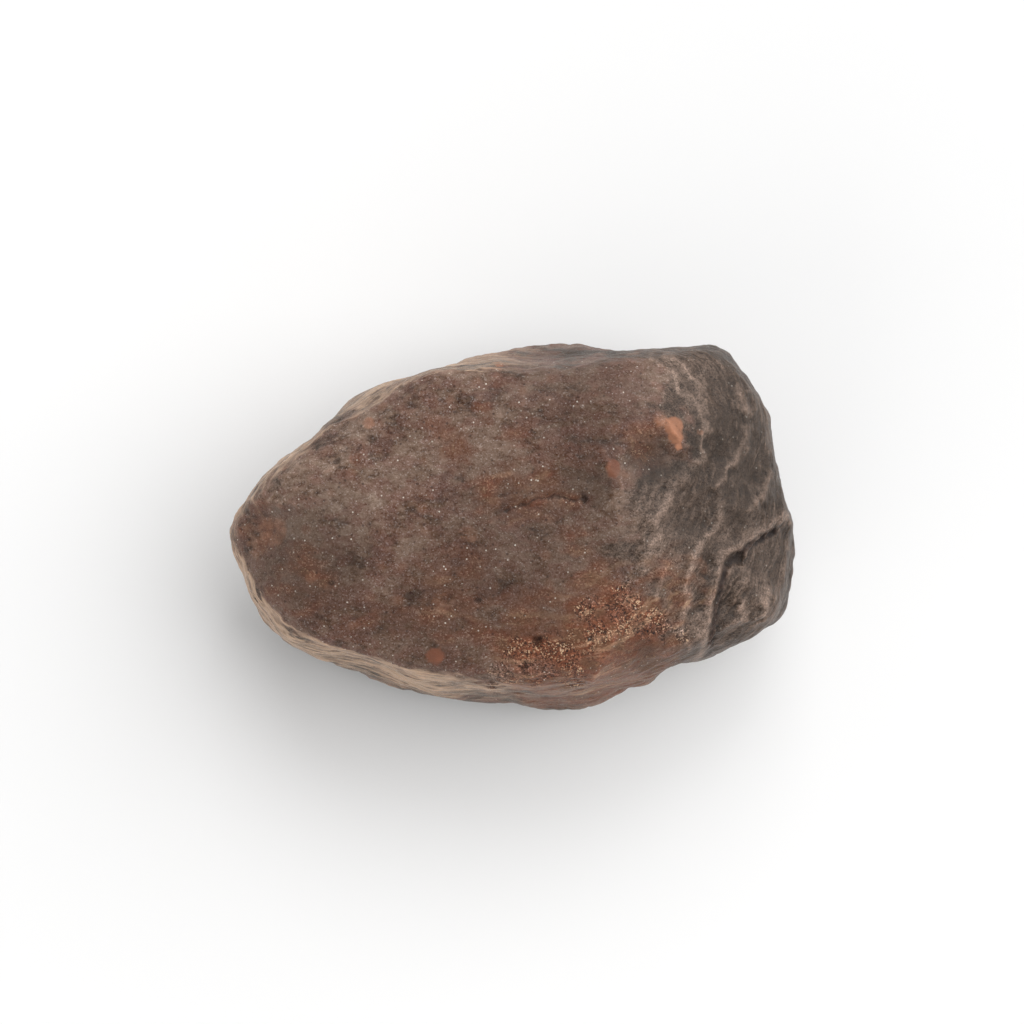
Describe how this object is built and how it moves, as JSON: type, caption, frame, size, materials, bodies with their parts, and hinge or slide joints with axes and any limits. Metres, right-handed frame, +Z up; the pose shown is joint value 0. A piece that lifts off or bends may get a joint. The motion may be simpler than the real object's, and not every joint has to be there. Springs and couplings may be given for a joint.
{
  "type": "stony meteorite",
  "caption": "Weathered stony meteorite with a pointed end, a broad sloping face and a blunt end, resting on a small worn flat.",
  "frame": {"origin": "on the resting plane, under the middle of the stone's outline", "axes": "+Z up, +X along the length towards the broad blunt end, +Y across it towards the sharp corner of that end"},
  "size_m": [0.06, 0.039, 0.027],
  "materials": {
    "stone": "mottled grey-brown and reddish-brown weathered chondrite, semi-gloss, with pale metal flecks, ochre grains and patches of granular rusty crust"
  },
  "bodies": {
    "root": {"meteorite": "stone"}
  },
  "joints": []
}
